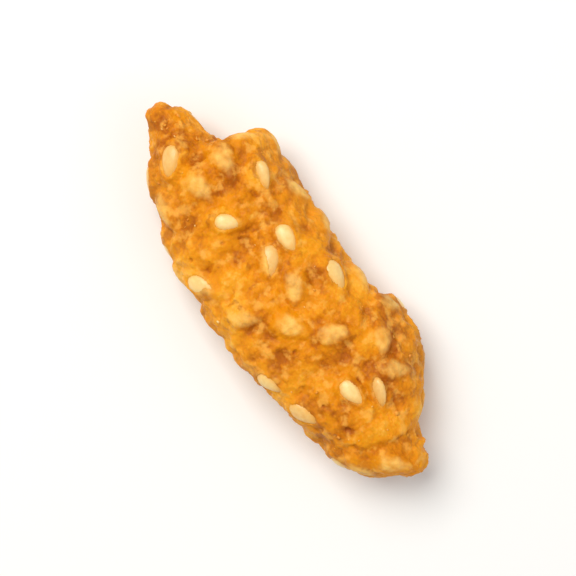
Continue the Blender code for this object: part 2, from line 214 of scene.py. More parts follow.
# Crumbs of fried dough and flour that cling to the crust: how many places are tried, their radii, most of
# them near the smallest, how unlike their three sizes and their points' radii are, and how far they stand
# out of the crust in radii. None lies where a seed is nearer than the share says.
CRUMBS, CRUMB_DRAW = 200, 11
CRUMB_SMALLEST, CRUMB_LARGEST, CRUMB_POWER = 0.06 * MM, 0.20 * MM, 2.5
CRUMB_STRETCH, CRUMB_LUMPS, CRUMB_LIFT = (0.5, 1.5), (0.5, 1.3), 0.1
CRUMB_RINGS, CRUMB_SIDES, CRUMB_END = 4, 7, 0.16
CRUMB_NEAREST = 0.3

# The view: straight down from this height, the strand turned in the frame, and a lens to suit.
EYE_HEIGHT, EYE_TURN, LENS = 0.143, 55.7, 100
FLOOR_HALF = 1.5

# Places in the noise, in its cells, that each form is read from, so that none follows another. The first
# three are the solid's.
WAVER_AT, PATCHES_AT, CRAGS_AT = 11.0, 23.0, 37.0
FINE_PATCHES_AT, COBBLES_AT, GRANULES_AT, BLISTERS_AT, PITS_AT = 3.0, 7.0, 13.0, 19.0, 29.0
DENTS_AT, THIN_AT, SEED_WAVER_AT = 41.0, 45.0, 61.0
WARP_AT, WARP_APART, OCTAVES_APART = 50.0, 9.0, 7.0
NOISE_CELLS = 256
rng = np.random.default_rng(20)
SHUFFLE = rng.permutation(NOISE_CELLS)
SLOPES = rng.normal(size=(NOISE_CELLS, 3))
SLOPES /= np.linalg.norm(SLOPES, axis=1, keepdims=True)
FEATURES = rng.random((NOISE_CELLS, 3))


class Bed(NamedTuple):
    """Where a seed lies: its middle, the axes of its bed as rows (ahead, aside, up), its roll about its
    length, how much of it is coated, and its share of full size."""

    middle: np.ndarray
    axes: np.ndarray
    roll: float
    coat: float
    size: float = 1.0


def cell_number(cell):
    """A shuffled number for each whole-numbered lattice point."""
    x, y, z = np.moveaxis(cell % NOISE_CELLS, -1, 0)
    return SHUFFLE[(SHUFFLE[(SHUFFLE[x] + y) % NOISE_CELLS] + z) % NOISE_CELLS]


def soft_noise(points):
    """Gradient noise between about -1 and 1: a random slope at each lattice corner, blended over a cell."""
    base = np.floor(points).astype(int)
    part = points - base
    fade = part**3 * (part * (part * 6 - 15) + 10)
    total = np.zeros(points.shape[:-1])
    for corner in np.ndindex(2, 2, 2):
        near = np.where(corner, fade, 1 - fade).prod(axis=-1)
        slope = SLOPES[cell_number(base + corner)]
        total += near * (slope * (part - corner)).sum(axis=-1)
    return 1.6 * total


def nearest_feature(points):
    """Distance to the nearest of the random points that lie one to a cell, in cell widths, and a lot from 0
    to 1 that belongs to that point."""
    base = np.floor(points).astype(int)
    nearest = np.full(points.shape[:-1], np.inf)
    owner = np.zeros(points.shape[:-1], int)
    for step in np.ndindex(3, 3, 3):
        cell = base + step - 1
        number = cell_number(cell)
        gap = ((cell + FEATURES[number] - points) ** 2).sum(axis=-1)
        owner = np.where(gap < nearest, number, owner)
        nearest = np.minimum(nearest, gap)
    return np.sqrt(nearest), ((owner * 97 + 31) % NOISE_CELLS) / (NOISE_CELLS - 1)


def pillowed(points):
    """Rounded swellings, one to a cell, that meet in creases: a level less the distance to the nearest
    feature, squared."""
    return PILLOW_LEVEL - nearest_feature(points)[0] ** 2


def smooth_step(gone, whole, value):
    """0 where the value is at gone or past it, 1 where it is at whole or past it, and an S curve
    between."""
    share = np.clip((value - gone) / (whole - gone), 0, 1)
    return share * share * (3 - 2 * share)


def through(column, along):
    """Curve through one column of the stations: cubic pieces that never swing past a station, because the
    slope there is the harmonic mean of the two chords that meet at it, or level where they disagree."""
    at, value = STATIONS[:, 0], STATIONS[:, column]
    chord = np.diff(value) / np.diff(at)
    before, after = chord[:-1], chord[1:]
    agree = before * after > 0
    slope = np.concatenate((chord[:1], np.zeros(len(before)), chord[-1:]))
    slope[1:-1][agree] = 2 * before[agree] * after[agree] / (before[agree] + after[agree])
    i = np.clip(np.searchsorted(at, along, side="right") - 1, 0, len(chord) - 1)
    span = at[i + 1] - at[i]
    s = (along - at[i]) / span
    rise = value[i] + (3 - 2 * s) * s * s * (value[i + 1] - value[i])
    return rise + span * s * (1 - s) * ((1 - s) * slope[i] - s * slope[i + 1])


def smooth_point(x, angle):
    """Point of the dough before its relief, at a distance along the strand and an angle round it.

    The section is a rounded rectangle, |cos|^p + |sin|^p = 1, stretched to the edges at that station, and
    an ellipse on the underside. Near either end it shrinks as a quarter circle does, which rounds the
    tip."""
    along = x / LENGTH
    left, right = through(1, along) * HALF_WIDTH, through(2, along) * HALF_WIDTH
    top, under = through(3, along) * HALF_THICKNESS, through(4, along) * HALF_THICKNESS
    from_tip = np.clip(np.minimum(x, LENGTH - x), 0, TIP_ROUND) / TIP_ROUND
    closing = np.sqrt(1 - (1 - from_tip) ** 2)
    across, upward = np.cos(angle), np.sin(angle)
    power = np.where(upward > 0, TOP_POWER, UNDER_POWER)
    reach = (np.abs(across) ** power + np.abs(upward) ** power) ** (-1 / power)
    y = (left + right) / 2 + closing * reach * across * (right - left) / 2
    z = (top + under) / 2 + closing * reach * upward * (top - under) / 2
    lean = LEAN * np.sin(2 * np.pi * along + LEAN_START)
    return np.stack((x - LENGTH / 2, y, z + lean * y), axis=-1)


def outward(x, angle):
    """Unit normal of the smooth dough, from two short steps along and round it."""
    reach, turn = 0.1 * MM, 0.01
    low, high = np.clip(x - reach, 0, LENGTH), np.clip(x + reach, 0, LENGTH)
    lengthwise = smooth_point(high, angle) - smooth_point(low, angle)
    round_it = smooth_point(x, angle + turn) - smooth_point(x, angle - turn)
    normal = np.cross(round_it, lengthwise)
    return normal / np.maximum(np.linalg.norm(normal, axis=-1, keepdims=True), 1e-12)


def relief(points, angle):
    """Height of the crust's broad relief at points of the smooth dough: lumps, folds that step across the
    strand, pillows of blistered dough, crags that are deepest along the two side edges, and a shallow
    hollow down the broad face."""
    lumps = LUMP_DEPTH * soft_noise(points / LUMP_SPAN)
    waver = FOLD_WAVER * soft_noise(points / FOLD_SWAY + WAVER_AT)
    step = (points[..., 0] + FOLD_SLANT * points[..., 1]) / FOLD_PITCH + waver
    climb = step - np.floor(step)
    patchy = smooth_step(-0.45, 0.45, soft_noise(points / FOLD_SWAY + PATCHES_AT))
    folds = FOLD_DEPTH * patchy * (climb * (1 - smooth_step(FOLD_CREST, 1.0, climb)) - FOLD_LEVEL)
    pillows = PILLOW_DEPTH * pillowed(points / PILLOW_SPAN)
    edge = FACE_SHARE + (1 - FACE_SHARE) * np.abs(np.cos(angle)) ** 5
    creases = CRAG_SHARPNESS * np.abs(soft_noise(points / CRAG_SPAN + CRAGS_AT))
    crags = CRAG_DEPTH * edge * (CRAG_LEVEL - creases)
    from_middle = smooth_step(HOLLOW_END, HOLLOW_WHOLE, np.abs(points[..., 0]))
    on_face = smooth_step(0.5, 0.95, np.sin(angle)) * from_middle
    hollow = -HOLLOW_DEPTH * on_face * np.exp(-((points[..., 1] / HOLLOW_WIDTH) ** 2))
    return lumps + folds + pillows + crags + hollow


def crust_point(x, angle):
    """Point of the crust in its broad relief: the smooth dough moved along its normal."""
    smooth = smooth_point(x, angle)
    return smooth + outward(x, angle) * relief(smooth, angle)[..., None]


def rows_along(step, tip_rows):
    """Distances of rings from the start tip: even steps, and over each rounded tip even turns."""
    turn = np.linspace(0, np.pi / 2, tip_rows + 1)[1:]
    tip = TIP_ROUND * (1 - np.cos(turn))
    steps = round((LENGTH - 2 * TIP_ROUND) / step)
    middle = np.linspace(TIP_ROUND, LENGTH - TIP_ROUND, steps + 1)[1:-1]
    return np.concatenate((tip, middle, LENGTH - tip[::-1]))


def crust_floor():
    """Height of the flat underside: a little above the lowest point of the solid's relief."""
    rings = rows_along(SOLID_ROW_STEP, SOLID_TIP_ROWS)
    x, angle = np.meshgrid(rings, np.linspace(np.pi, 2 * np.pi, SOLID_COLUMNS), indexing="ij")
    return crust_point(x, angle)[..., 2].min() + FLAT_DEPTH


def angle_at(x, y):
    """Angle round the strand at which its broad face is y across from the middle."""
    angle = np.linspace(0.0, np.pi, 361)
    across = smooth_point(np.full_like(angle, x), angle)[:, 1]
    return angle[np.abs(across - y).argmin()]


def unit(vector):
    return vector / np.linalg.norm(vector)


def bed_points(x, angle, turn):
    """The crust's points under a seed's two ends, its two sides and its middle, its long axis turned from
    the strand's by turn."""
    turn, nudge = np.radians(turn), np.array((0, 0.01))
    start, stop = smooth_point(np.full(2, x), angle + nudge)
    per_turn = np.linalg.norm(stop - start) / nudge[1]
    ends = np.array((-1, 1, 0, 0, 0)) * SEED_LENGTH / 2
    sides = np.array((0, 0, -1, 1, 0)) * SEED_WIDTH / 2
    xs = np.clip(x + ends * np.cos(turn) + sides * np.sin(turn), 0, LENGTH)
    angles = angle + (sides * np.cos(turn) - ends * np.sin(turn)) / per_turn
    return crust_point(xs, angles)


def seed_bed(points, roll, coat):
    """The bed of a seed over those five points. A bare seed is lifted off it, and one that is rolled on to
    its edge sinks in."""
    roll = np.radians(roll)
    ahead = unit(points[1] - points[0])
    up = unit(np.cross(points[3] - points[2], ahead))
    lift = BARE_LIFT * (1 - coat) - EDGEWISE_SINK * np.sin(roll) ** 2
    middle = points.mean(axis=0) + up * lift
    return Bed(middle, np.array((ahead, np.cross(up, ahead), up)), roll, coat)


def seed_axes(bed):
    """A seed's own axes: those of its bed, turned about its length by its roll."""
    ahead, aside, up = bed.axes
    cos, sin = np.cos(bed.roll), np.sin(bed.roll)
    return np.array((ahead, aside * cos + up * sin, up * cos - aside * sin))


def reach_down(bed):
    """How far below its middle a seed reaches: the half height of an ellipsoid that lies aslant."""
    half_sizes = np.array((SEED_LENGTH, SEED_WIDTH, SEED_THICKNESS)) / 2
    return np.linalg.norm(half_sizes * seed_axes(bed)[:, 2])


def seed_beds(floor):
    """The beds of all seeds: those of the broad face, then a random scatter over the rest that keeps its
    distance from every seed before it, off steps in the crust and off the flat underside."""
    beds = []
    for along, across, turn, roll, coat in FACE_SEEDS:
        x = LENGTH / 2 + along * MM
        beds.append(seed_bed(bed_points(x, angle_at(x, across * MM), turn), roll, coat))
    draw = np.random.default_rng(SEED_DRAW)
    while len(beds) < len(FACE_SEEDS) + SCATTERED_SEEDS:
        x = draw.uniform(SEED_TIP_GAP, LENGTH - SEED_TIP_GAP)
        angle = draw.uniform(SCATTER_FROM, SCATTER_TO)
        turn, roll, coat = draw.normal(0, TURN_SPREAD), draw.normal(0, ROLL_SPREAD), draw.random()
        gap = SEED_GAP * draw.uniform(GAP_LEAST, GAP_MOST)
        points = bed_points(x, angle, turn)
        bed = seed_bed(points, roll, coat)
        clear = min(np.linalg.norm(bed.middle - other.middle) for other in beds) > gap
        steady = np.linalg.norm(points[4] - points[:4].mean(axis=0)) < BED_ROCK
        if clear and steady and bed.middle[2] - reach_down(bed) > floor:
            beds.append(bed._replace(coat=coat**FLANK_COAT_POWER))
    return [bed._replace(size=draw.uniform(SMALLEST_SEED, LARGEST_SEED)) for bed in beds]


def narrowing(along):
    """How wide a seed is at a place along it, -1 at the blunt end and 1 at the point, besides its oval."""
    return 1 - NARROWING / 2 * (along + 0.2)


def rolled_section(roll, size):
    """A seed's middle section, an ellipse, rolled about the seed's length: its half width, its height over
    the middle, and its tilt. Its top is height * sqrt(1 - (across / half width)^2) + tilt * across."""
    wide, thick = SEED_WIDTH / 2 * size, SEED_THICKNESS / 2 * size
    half_width = np.hypot(wide * np.cos(roll), thick * np.sin(roll))
    steep = (np.sin(roll) / wide) ** 2 + (np.cos(roll) / thick) ** 2
    tilt = np.sin(roll) * np.cos(roll) * (thick**-2 - wide**-2) / steep
    return half_width, steep**-0.5, tilt


def over_the_shore(coat, number, along, across, waver):
    """Share of the hull that dough covers from one side: 1 on that side of a wavering line across it."""
    turn = SHORE_TURN * number
    towards = -along * np.cos(turn) - across * np.sin(turn)
    shore = np.interp(coat, SHORE_COATS, SHORE_PLACES) if coat < BURIED else BURIED_SHORE
    return smooth_step(shore - SHORE_BLUR, shore + SHORE_BLUR, towards + SHORE_WAVER * waver)


def draw_up(points, beds):
    """Draws the dough up round each seed, or over it where the seed is coated.

    A point is moved straight up or down from a seed's bed, and out is its share of the way from the seed's
    middle to its rim. There the hull's top is height * sqrt(1 - out^2), tilted as the seed is rolled, and a
    collar of dough stands round it and falls away outside. Where the hull is bare, the crust keeps a tuck
    under it. Where dough covers it, the crust lies a film above hull and collar, or over a well coated seed
    above a mound, height * (1 - (out / reach)^2)^power. The pull fades over half a seed's width outside the
    rim, and leaves alone what an earlier seed has drawn up.

    Returns the moved points, how pale a film lies over a hull, how near each point is to a seed, and which
    lie hidden under a bare hull."""
    film, near, hidden = np.zeros((3, *points.shape[:2]))
    waver = sum(depth * soft_noise(points / span + place) for span, depth, place in EDGE_WAVERS)
    patchy = np.clip(THIN_MEAN + THIN_DEPTH * soft_noise(points / THIN_SPAN + THIN_AT), 0, 1)
    for number, (middle, axes, roll, coat, size) in enumerate(beds):
        along, across, above = np.moveaxis((points - middle) @ axes.T, -1, 0)
        half_width, half_height, tilt = rolled_section(roll, size)
        u = along / (SEED_LENGTH / 2 * size)
        taper = narrowing(np.clip(u, -1, 1))
        v = across / (half_width * taper)
        out = np.hypot(u, v)
        hull = half_height * taper * np.sqrt(np.clip(1 - out**2, 0, 1))
        hull = hull + tilt * across * smooth_step(*TILT_FADE, out)
        collar = COLLAR * half_height * taper * smooth_step(*COLLAR_FADE, out)
        on_rim = smooth_step(*RIM_FADE, out + waver)
        lapped = smooth_step(LAP, 0, hull - collar)
        covered = np.maximum(np.maximum(on_rim, over_the_shore(coat, number, u, v, waver)), lapped)
        mound = half_height * taper * np.clip(1 - (out / MOUND_REACH) ** 2, 0, 1) ** MOUND_POWER
        snug = np.maximum(hull, collar)
        over = snug + (mound - snug) * np.interp(coat, MOUND_COATS, (0, 1))
        height = hull + (over - hull) * covered + FILM * covered - TUCK * (1 - covered)
        in_reach = smooth_step(*REACH_FADE, np.abs(above))
        pull = smooth_step(*PULL_FADE, out + PULL_WAVER * waver) * in_reach
        held = near * smooth_step(*HOLD_FADE, out)
        points = points + axes[2] * ((height - above) * pull * (1 - held))[..., None]
        veil = VEIL_LEAST + VEIL_SPREAD * (number * GOLDEN % 1)
        on_hull = smooth_step(*FILM_FADE, out + FILM_WAVER * waver)
        film = np.maximum(film, veil * in_reach * covered * on_hull * patchy)
        near = np.maximum(near, pull)
        hidden = np.maximum(hidden, pull * (1 - covered))
    return points, film, near, hidden


def crumble(points):
    """Crumbly height from about 0 to 1: |noise| at a span, its half and its quarter, each a little lower
    than the one before, which gives rounded swellings that meet in sharp creases."""
    height = np.zeros(points.shape[:-1])
    for octave, share in enumerate(CRUMBLE_SHARES):
        height += share * np.abs(soft_noise(points * 2**octave + OCTAVES_APART * octave))
    return height


def fine_relief(points):
    """Height of the fine relief, and how deep each point lies in a burst pit, as a share of the deepest.

    Crumbly swellings, with rounded cobbles and granules that take turns over the crust; blisters, each a
    dome of its own size, height * (1 - (distance / radius)^2)^power; and pits where a blister has burst.
    Cobbles, blisters and pits are read at points that are shifted about at random, so that none is
    round."""
    warp = [soft_noise(points / WARP_SPAN + WARP_AT + WARP_APART * axis) for axis in range(3)]
    bent = points + WARP_DEPTH * np.stack(warp, axis=-1)
    patchy = 0.5 + 0.5 * soft_noise(points / PATCH_SPAN + FINE_PATCHES_AT)
    swellings = CRUMBLE_DEPTH * (crumble(points / CRUMBLE_SPAN) - CRUMBLE_LEVEL)
    cobbles = COBBLE_DEPTH * patchy * pillowed(bent / COBBLE_SPAN + COBBLES_AT)
    granules = GRANULE_DEPTH * (GRANULES_MOST - patchy) * pillowed(points / GRANULE_SPAN + GRANULES_AT)
    away, lot = nearest_feature(bent / BLISTER_SPAN + BLISTERS_AT)
    across = away / (BLISTER_LEAST + BLISTER_SPREAD * lot)
    blisters = BLISTER_HEIGHT * (0.5 + lot / 2) * np.clip(1 - across**2, 0, 1) ** BLISTER_POWER
    away, lot = nearest_feature(bent / PIT_SPAN + PITS_AT)
    burst = smooth_step(*PIT_FADE, away / (PIT_LEAST + PIT_SPREAD * lot)) * (lot > PIT_LOT)
    return swellings + cobbles + granules + blisters, (0.4 + 0.6 * lot) * burst


def grid_normals(points):
    """Unit normals of a closed tube of points, from the rows and the columns to either side of each."""
    along = np.gradient(points, axis=0)
    round_it = np.roll(points, -1, axis=1) - np.roll(points, 1, axis=1)
    normal = np.cross(round_it, along)
    return normal / np.maximum(np.linalg.norm(normal, axis=-1, keepdims=True), 1e-15)


def blurred(field, spread):
    """A field over the grid, blurred over so many rows and columns: its spectrum times a bell curve's."""
    rows = np.fft.fftfreq(field.shape[0])[:, None]
    columns = np.fft.rfftfreq(field.shape[1])[None, :]
    bell = np.exp(-2 * (np.pi * spread) ** 2 * (rows**2 + columns**2))
    return np.fft.irfft2(np.fft.rfft2(field) * bell, field.shape)


def fried_crust(beds, floor):
    """The crust, as points over rows along the strand and columns round it: its broad relief, drawn up
    round the seeds, then its fine relief along the normals, and the underside pressed flat.

    Returns the points, their normals, how near each is to a seed, and the fields that the colour follows,
    each from 0 to 1: raised (its height over its surroundings, which pales the tops partly as painted light
    and darkens the hollows partly as painted shade), film, pit (darkened as painted shade) and edge (the
    sides, paled as a painted rim light)."""
    angles = np.linspace(0, 2 * np.pi, COLUMNS, endpoint=False)
    x, angle = np.meshgrid(rows_along(ROW_STEP, TIP_ROWS), angles, indexing="ij")
    points, film, near, hidden = draw_up(crust_point(x, angle), beds)
    fine, pit = fine_relief(points)
    fine = fine * ((1 - CALM_BY_SEED * near) * (1 - hidden))
    fine = np.maximum(fine, -FILM_CUT * FILM - OPEN_CUT * (1 - near))
    fine -= PIT_DEPTH * pit * (1 - near)
    points = points + grid_normals(points) * fine[..., None]
    points[..., 2] = np.maximum(points[..., 2], floor)
    height = relief(smooth_point(x, angle), angle) + fine
    # Painted light and shade, in part: raised crust is coloured paler and hollows darker, over the dough's
    # own colour.
    raised = np.clip(0.5 + (height - blurred(height, RAISED_BLUR)) / RAISED_RANGE, 0, 1)
    # Painted rim light: the two sides of the strand are given a paler gold, as if lit.
    edge = np.abs(np.cos(angle)) ** 4
    fields = {"raised": raised, "film": film, "pit": pit * (1 - near), "edge": edge}
    return points, grid_normals(points), near, fields


def sesame_seeds(beds):
    """Seeds whose hull shows, as grids of points over the length and round it, with the fields that their
    colour follows, each from 0 to 1: tone, rim (a darker gold, partly painted shade on the hull's sides)
    and toast.

    A seed is an oval, cos and sin of an angle, as wide and thick at each place as an ellipse that narrows
    to a point at one end, with faint lengthwise ridges and dents."""
    shown = [bed for bed in beds if bed.coat < BURIED]
    lengthwise = np.cos(np.linspace(np.pi * (1 - SEED_END), np.pi * SEED_END, SEED_RINGS))[:, None]
    turn = np.linspace(0, 2 * np.pi, SEED_SIDES, endpoint=False)[None, :]
    girth = np.sqrt(1 - lengthwise**2) * narrowing(lengthwise) * (1 + RIDGE_HEIGHT * np.cos(RIDGES * turn))
    lengths = lengthwise * SEED_LENGTH / 2
    widths = girth * np.cos(turn) * SEED_WIDTH / 2
    thicknesses = girth * np.sin(turn) * SEED_THICKNESS / 2
    oval = np.stack(np.broadcast_arrays(lengths, widths, thicknesses), axis=-1)
    axes = np.array([seed_axes(bed) for bed in shown])
    middles = np.array([bed.middle for bed in shown])[:, None, None, :]
    sizes = np.array([bed.size for bed in shown])[:, None, None, None]
    seeds = np.einsum("rci,nij->nrcj", oval, axes) * sizes + middles
    dents = DENT_DEPTH * soft_noise(seeds / DENT_SPAN + DENTS_AT)
    seeds += (seeds - middles) * (dents / (SEED_WIDTH / 2))[..., None]
    tone, toasted = np.random.default_rng(TONE_DRAW).random((2, len(shown), 1, 1))
    roll = np.array([bed.roll for bed in shown])[:, None, None]
    height = girth * (np.sin(turn) * np.cos(roll) + np.cos(turn) * np.sin(roll))
    waver = SEED_WAVER_DEPTH * soft_noise(seeds / SEED_WAVER_SPAN + SEED_WAVER_AT)
    # Painted shade, in part: the hull's sides, low in its height, are coloured a darker gold.
    rim = smooth_step(*RIM_GOLD_AND_SHADE_FADE, height + waver)
    toast = smooth_step(*TOAST_FADE, lengthwise + waver) * toasted
    return seeds, {"tone": tone + np.zeros(waver.shape), "rim": rim, "toast": toast}


def clinging_crumbs(points, normals, near, floor):
    """Crumbs at random points of the crust that no seed is near: lumpy grains, each a ball of few faces
    with every point's radius drawn at random. Returns their grids of points and each one's tone."""
    draw = np.random.default_rng(CRUMB_DRAW)
    rows = draw.integers(TIP_ROWS, points.shape[0] - TIP_ROWS, CRUMBS)
    columns = draw.integers(0, points.shape[1], CRUMBS)
    open_spot = (near[rows, columns] < CRUMB_NEAREST) & (points[rows, columns, 2] > floor + CRUMB_LARGEST)
    rows, columns = rows[open_spot], columns[open_spot]
    places, ups = points[rows, columns], normals[rows, columns]
    count = len(places)
    polar = np.linspace(CRUMB_END, 1 - CRUMB_END, CRUMB_RINGS)[:, None] * np.pi
    turn = np.linspace(0, 2 * np.pi, CRUMB_SIDES, endpoint=False)[None, :]
    ring = np.sin(polar)
    ball = np.stack(np.broadcast_arrays(-np.cos(polar), ring * np.cos(turn), ring * np.sin(turn)), axis=-1)
    sizes = CRUMB_SMALLEST + (CRUMB_LARGEST - CRUMB_SMALLEST) * draw.random(count) ** CRUMB_POWER
    stretch = draw.uniform(*CRUMB_STRETCH, (count, 1, 1, 3))
    lumps = draw.uniform(*CRUMB_LUMPS, (count, *ball.shape[:2], 1))
    crumbs = ball * lumps * stretch * sizes[:, None, None, None]
    crumbs = crumbs + (places + ups * (CRUMB_LIFT * sizes)[:, None])[:, None, None, :]
    return crumbs, draw.random(count)[:, None, None] + np.zeros(crumbs.shape[:-1])


def tube_faces(count, rows, columns):
    """Corners of the faces of closed tubes, and how many each has: a four-sided face between every two
    rings and columns, and a fan at either end to a last point there. They wind so that they face
    outwards."""
    per_tube = rows * columns + 2
    ring = np.arange(rows * columns).reshape(rows, columns)
    after = np.roll(ring, -1, axis=1)
    quads = np.stack((ring[:-1], after[:-1], after[1:], ring[1:]), axis=-1).reshape(-1, 4)
    first, last = np.full(columns, per_tube - 2), np.full(columns, per_tube - 1)
    start_fan = np.stack((ring[0], first, after[0]), axis=-1)
    end_fan = np.stack((after[-1], last, ring[-1]), axis=-1)
    fans = np.concatenate((start_fan, end_fan))
    corners = np.concatenate((quads.ravel(), fans.ravel()))
    corners = (corners + per_tube * np.arange(count)[:, None]).ravel()
    sizes = np.tile(np.concatenate((np.full(len(quads), 4), np.full(len(fans), 3))), count)
    return corners, sizes


def with_ends(grids):
    """The points or values of each tube in one list, then the means of its first and its last ring, which
    close its two ends."""
    ends = np.stack((grids[:, 0].mean(axis=1), grids[:, -1].mean(axis=1)), axis=1)
    return np.concatenate((grids.reshape(len(grids), -1, grids.shape[-1]), ends), axis=1)


def make_piece(name, material, tubes, fields):
    """A piece from grids of points, one closed tube each, with the fields that its material reads."""
    places = with_ends(tubes).reshape(-1, 3)
    corners, sizes = tube_faces(*tubes.shape[:3])
    mesh = bpy.data.meshes.new(name)
    mesh.vertices.add(len(places))
    mesh.vertices.foreach_set("co", places.ravel())
    mesh.loops.add(len(corners))
    mesh.loops.foreach_set("vertex_index", corners)
    mesh.polygons.add(len(sizes))
    mesh.polygons.foreach_set("loop_start", np.concatenate(([0], np.cumsum(sizes)[:-1])))
    mesh.update(calc_edges=True)
    for title, values in fields.items():
        values = with_ends(values.reshape(*tubes.shape[:3], 1))
        mesh.attributes.new(title, "FLOAT", "POINT").data.foreach_set("value", values.ravel())
    mesh.shade_smooth()
    mesh.validate()
    mesh.materials.append(material)
    piece = bpy.data.objects.new(name, mesh)
    bpy.context.scene.collection.objects.link(piece)
    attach(piece, "root")
    return piece


def linear(hex_colour):
    """A colour from its sRGB hex value, such as "#e09030", in the linear light that a shader works in."""
    shares = np.array([int(hex_colour[i : i + 2], 16) for i in (1, 3, 5)]) / 255
    light = np.where(shares <= 0.04045, shares / 12.92, ((shares + 0.055) / 1.055) ** 2.4)
    return (*light, 1.0)


def add_node(tree, kind, settings=None, links=None, values=None, stops=()):
    """Adds a node: settings are its own properties, links what feeds its sockets, values the other sockets'
    own values, and stops the places and hex colours of a colour ramp."""
    node = tree.nodes.new("ShaderNode" + kind)
    for key, value in (settings or {}).items():
        setattr(node, key, value)
    for socket, source in (links or {}).items():
        tree.links.new(source, node.inputs[socket])
    for socket, value in (values or {}).items():
        node.inputs[socket].default_value = value
    for number, (place, colour) in enumerate(stops):
        marks = node.color_ramp.elements
        mark = marks[number] if number < len(marks) else marks.new(place)
        mark.position, mark.color = place, linear(colour)
    return node


def new_material(name):
    """A new material: itself, its node tree and the shader in it."""
    material = bpy.data.materials.new(name)
    material.use_nodes = True
    return material, material.node_tree, material.node_tree.nodes["Principled BSDF"]


def fried_dough():
    """Deep-fried wheat dough. Its raised tops are a paler gold and its hollows and creases darker, partly
    the dough's own colour where oil lies and thin skin blisters, and partly painted light on the tops and
    painted shade in the creases; burst pits are darkened as painted shade, and the sides carry a paler gold
    as a painted rim light. The oil that stays in it gives broken, soft highlights, and light goes a little
    way into it."""
    material, tree, shader = new_material("fried_wheat_dough")
    place = add_node(tree, "TexCoord").outputs["Object"]
    raised, film, pit, edge = (
        add_node(tree, "Attribute", {"attribute_name": title}).outputs["Fac"]
        for title in ("raised", "film", "pit", "edge")
    )
    # Patches of uneven frying about 4 mm across, blotches of a millimetre and grain of a sixth of one: the
    # span, detail and roughness of each.
    noises = ((4.2 * MM, 3, 0.4), (1.0 * MM, 3, 0.55), (0.16 * MM, 3, 0.7))
    patches, blotches, grain = (
        add_node(
            tree,
            "TexNoise",
            links={"Vector": place},
            values={"Scale": 1 / span, "Detail": detail, "Roughness": rough},
        ).outputs["Fac"]
        for span, detail, rough in noises
    )
    # Steam leaves fine bubbles about a third of a millimetre across.
    bubbles = add_node(
        tree,
        "TexVoronoi",
        settings={"feature": "SMOOTH_F1"},
        links={"Vector": place},
        values={"Scale": 1 / (0.32 * MM), "Smoothness": 0.3, "Detail": 1.0},
    ).outputs["Distance"]
    # How pale the dough is: raised parts most, partly as painted light on the tops and painted shade in the
    # hollows, with blotches and patches added, and painted shade in the creases between bubbles taken off.
    paleness = raised
    for pattern, weight in ((blotches, 0.65), (patches, 2.6), (bubbles, -0.3)):
        paleness = add_node(
            tree,
            "Math",
            settings={"operation": "MULTIPLY_ADD"},
            links={0: pattern, 2: paleness},
            values={1: weight},
        ).outputs[0]
    share = add_node(
        tree, "MapRange", links={"Value": paleness}, values={"From Min": 1.45, "From Max": 2.72}
    ).outputs["Result"]
    # The ramp turns the dough's own browning together with the painted light and shade above into colour.
    browning_and_painted_light = ((0.0, "#b05c00"), (0.3, "#d67e00"), (0.55, "#e69006"), (0.8, "#f1a522"), (1.0, "#fbbc54"))
    dough = add_node(tree, "ValToRGB", links={"Fac": share}, stops=browning_and_painted_light).outputs["Color"]
    # Irregular coats on that: amber patches nearly 3 mm across that oil has soaked, spots of about a
    # millimetre that it has browned, and spots of dry, pale dough. Each has its span, its place in the
    # noise in millimetres, the noise at which it starts and is whole, how much it covers there, and its
    # colour.
    coats = (
        (2.6 * MM, 53.0, 0.50, 0.62, 0.65, "#ea9200"),
        (1.3 * MM, 31.0, 0.58, 0.70, 0.60, "#a45400"),
        (1.0 * MM, 17.0, 0.50, 0.68, 0.60, "#fab64c"),
    )
    layers = []
    for span, away, gone, whole, most, colour in coats:
        moved = add_node(tree, "Mapping", links={"Vector": place}, values={"Location": (away * MM,) * 3})
        spots = add_node(
            tree,
            "TexNoise",
            links={"Vector": moved.outputs["Vector"]},
            values={"Scale": 1 / span, "Detail": 3, "Roughness": 0.5},
        ).outputs["Fac"]
        soft_edges = {"interpolation_type": "SMOOTHSTEP"}
        reach = {"From Min": gone, "From Max": whole, "To Max": most}
        layers.append((add_node(tree, "MapRange", soft_edges, {"Value": spots}, reach), colour))
    # Then a painted rim light in paler gold along the sides, the dough over a seed's hull, and painted
    # shade that darkens the burst pits.
    for field, most, colour in ((edge, 0.30, "#f6b040"), (film, 0.85, "#ffcd6c"), (pit, 0.6, "#a04c06")):
        layers.append((add_node(tree, "MapRange", links={"Value": field}, values={"To Max": most}), colour))
    for cover, colour in layers:
        over = {"Factor": cover.outputs["Result"], 6: dough}
        dough = add_node(tree, "Mix", {"data_type": "RGBA"}, over, {7: linear(colour)}).outputs[2]
    tree.links.new(dough, shader.inputs["Base Color"])
    # Oily blotches shine more than dry ones.
    gloss = add_node(
        tree,
        "MapRange",
        links={"Value": blotches},
        values={"From Min": 0.35, "From Max": 0.65, "To Min": 0.36, "To Max": 0.65},
    )
    tree.links.new(gloss.outputs["Result"], shader.inputs["Roughness"])
    height = add_node(
        tree,
        "Math",
        settings={"operation": "MULTIPLY_ADD"},
        links={0: bubbles, 2: grain},
        values={1: -1.0},
    ).outputs[0]
    bump = add_node(tree, "Bump", links={"Height": height}, values={"Strength": 0.45, "Distance": 0.1 * MM})
    tree.links.new(bump.outputs["Normal"], shader.inputs["Normal"])
    shader.inputs["IOR"].default_value = 1.47
    shader.inputs["Subsurface Weight"].default_value = 0.2
    shader.inputs["Subsurface Radius"].default_value = (1.0, 0.42, 0.12)
    shader.inputs["Subsurface Scale"].default_value = 0.35 * MM
    shader.inputs["Specular IOR Level"].default_value = 0.18
    return material


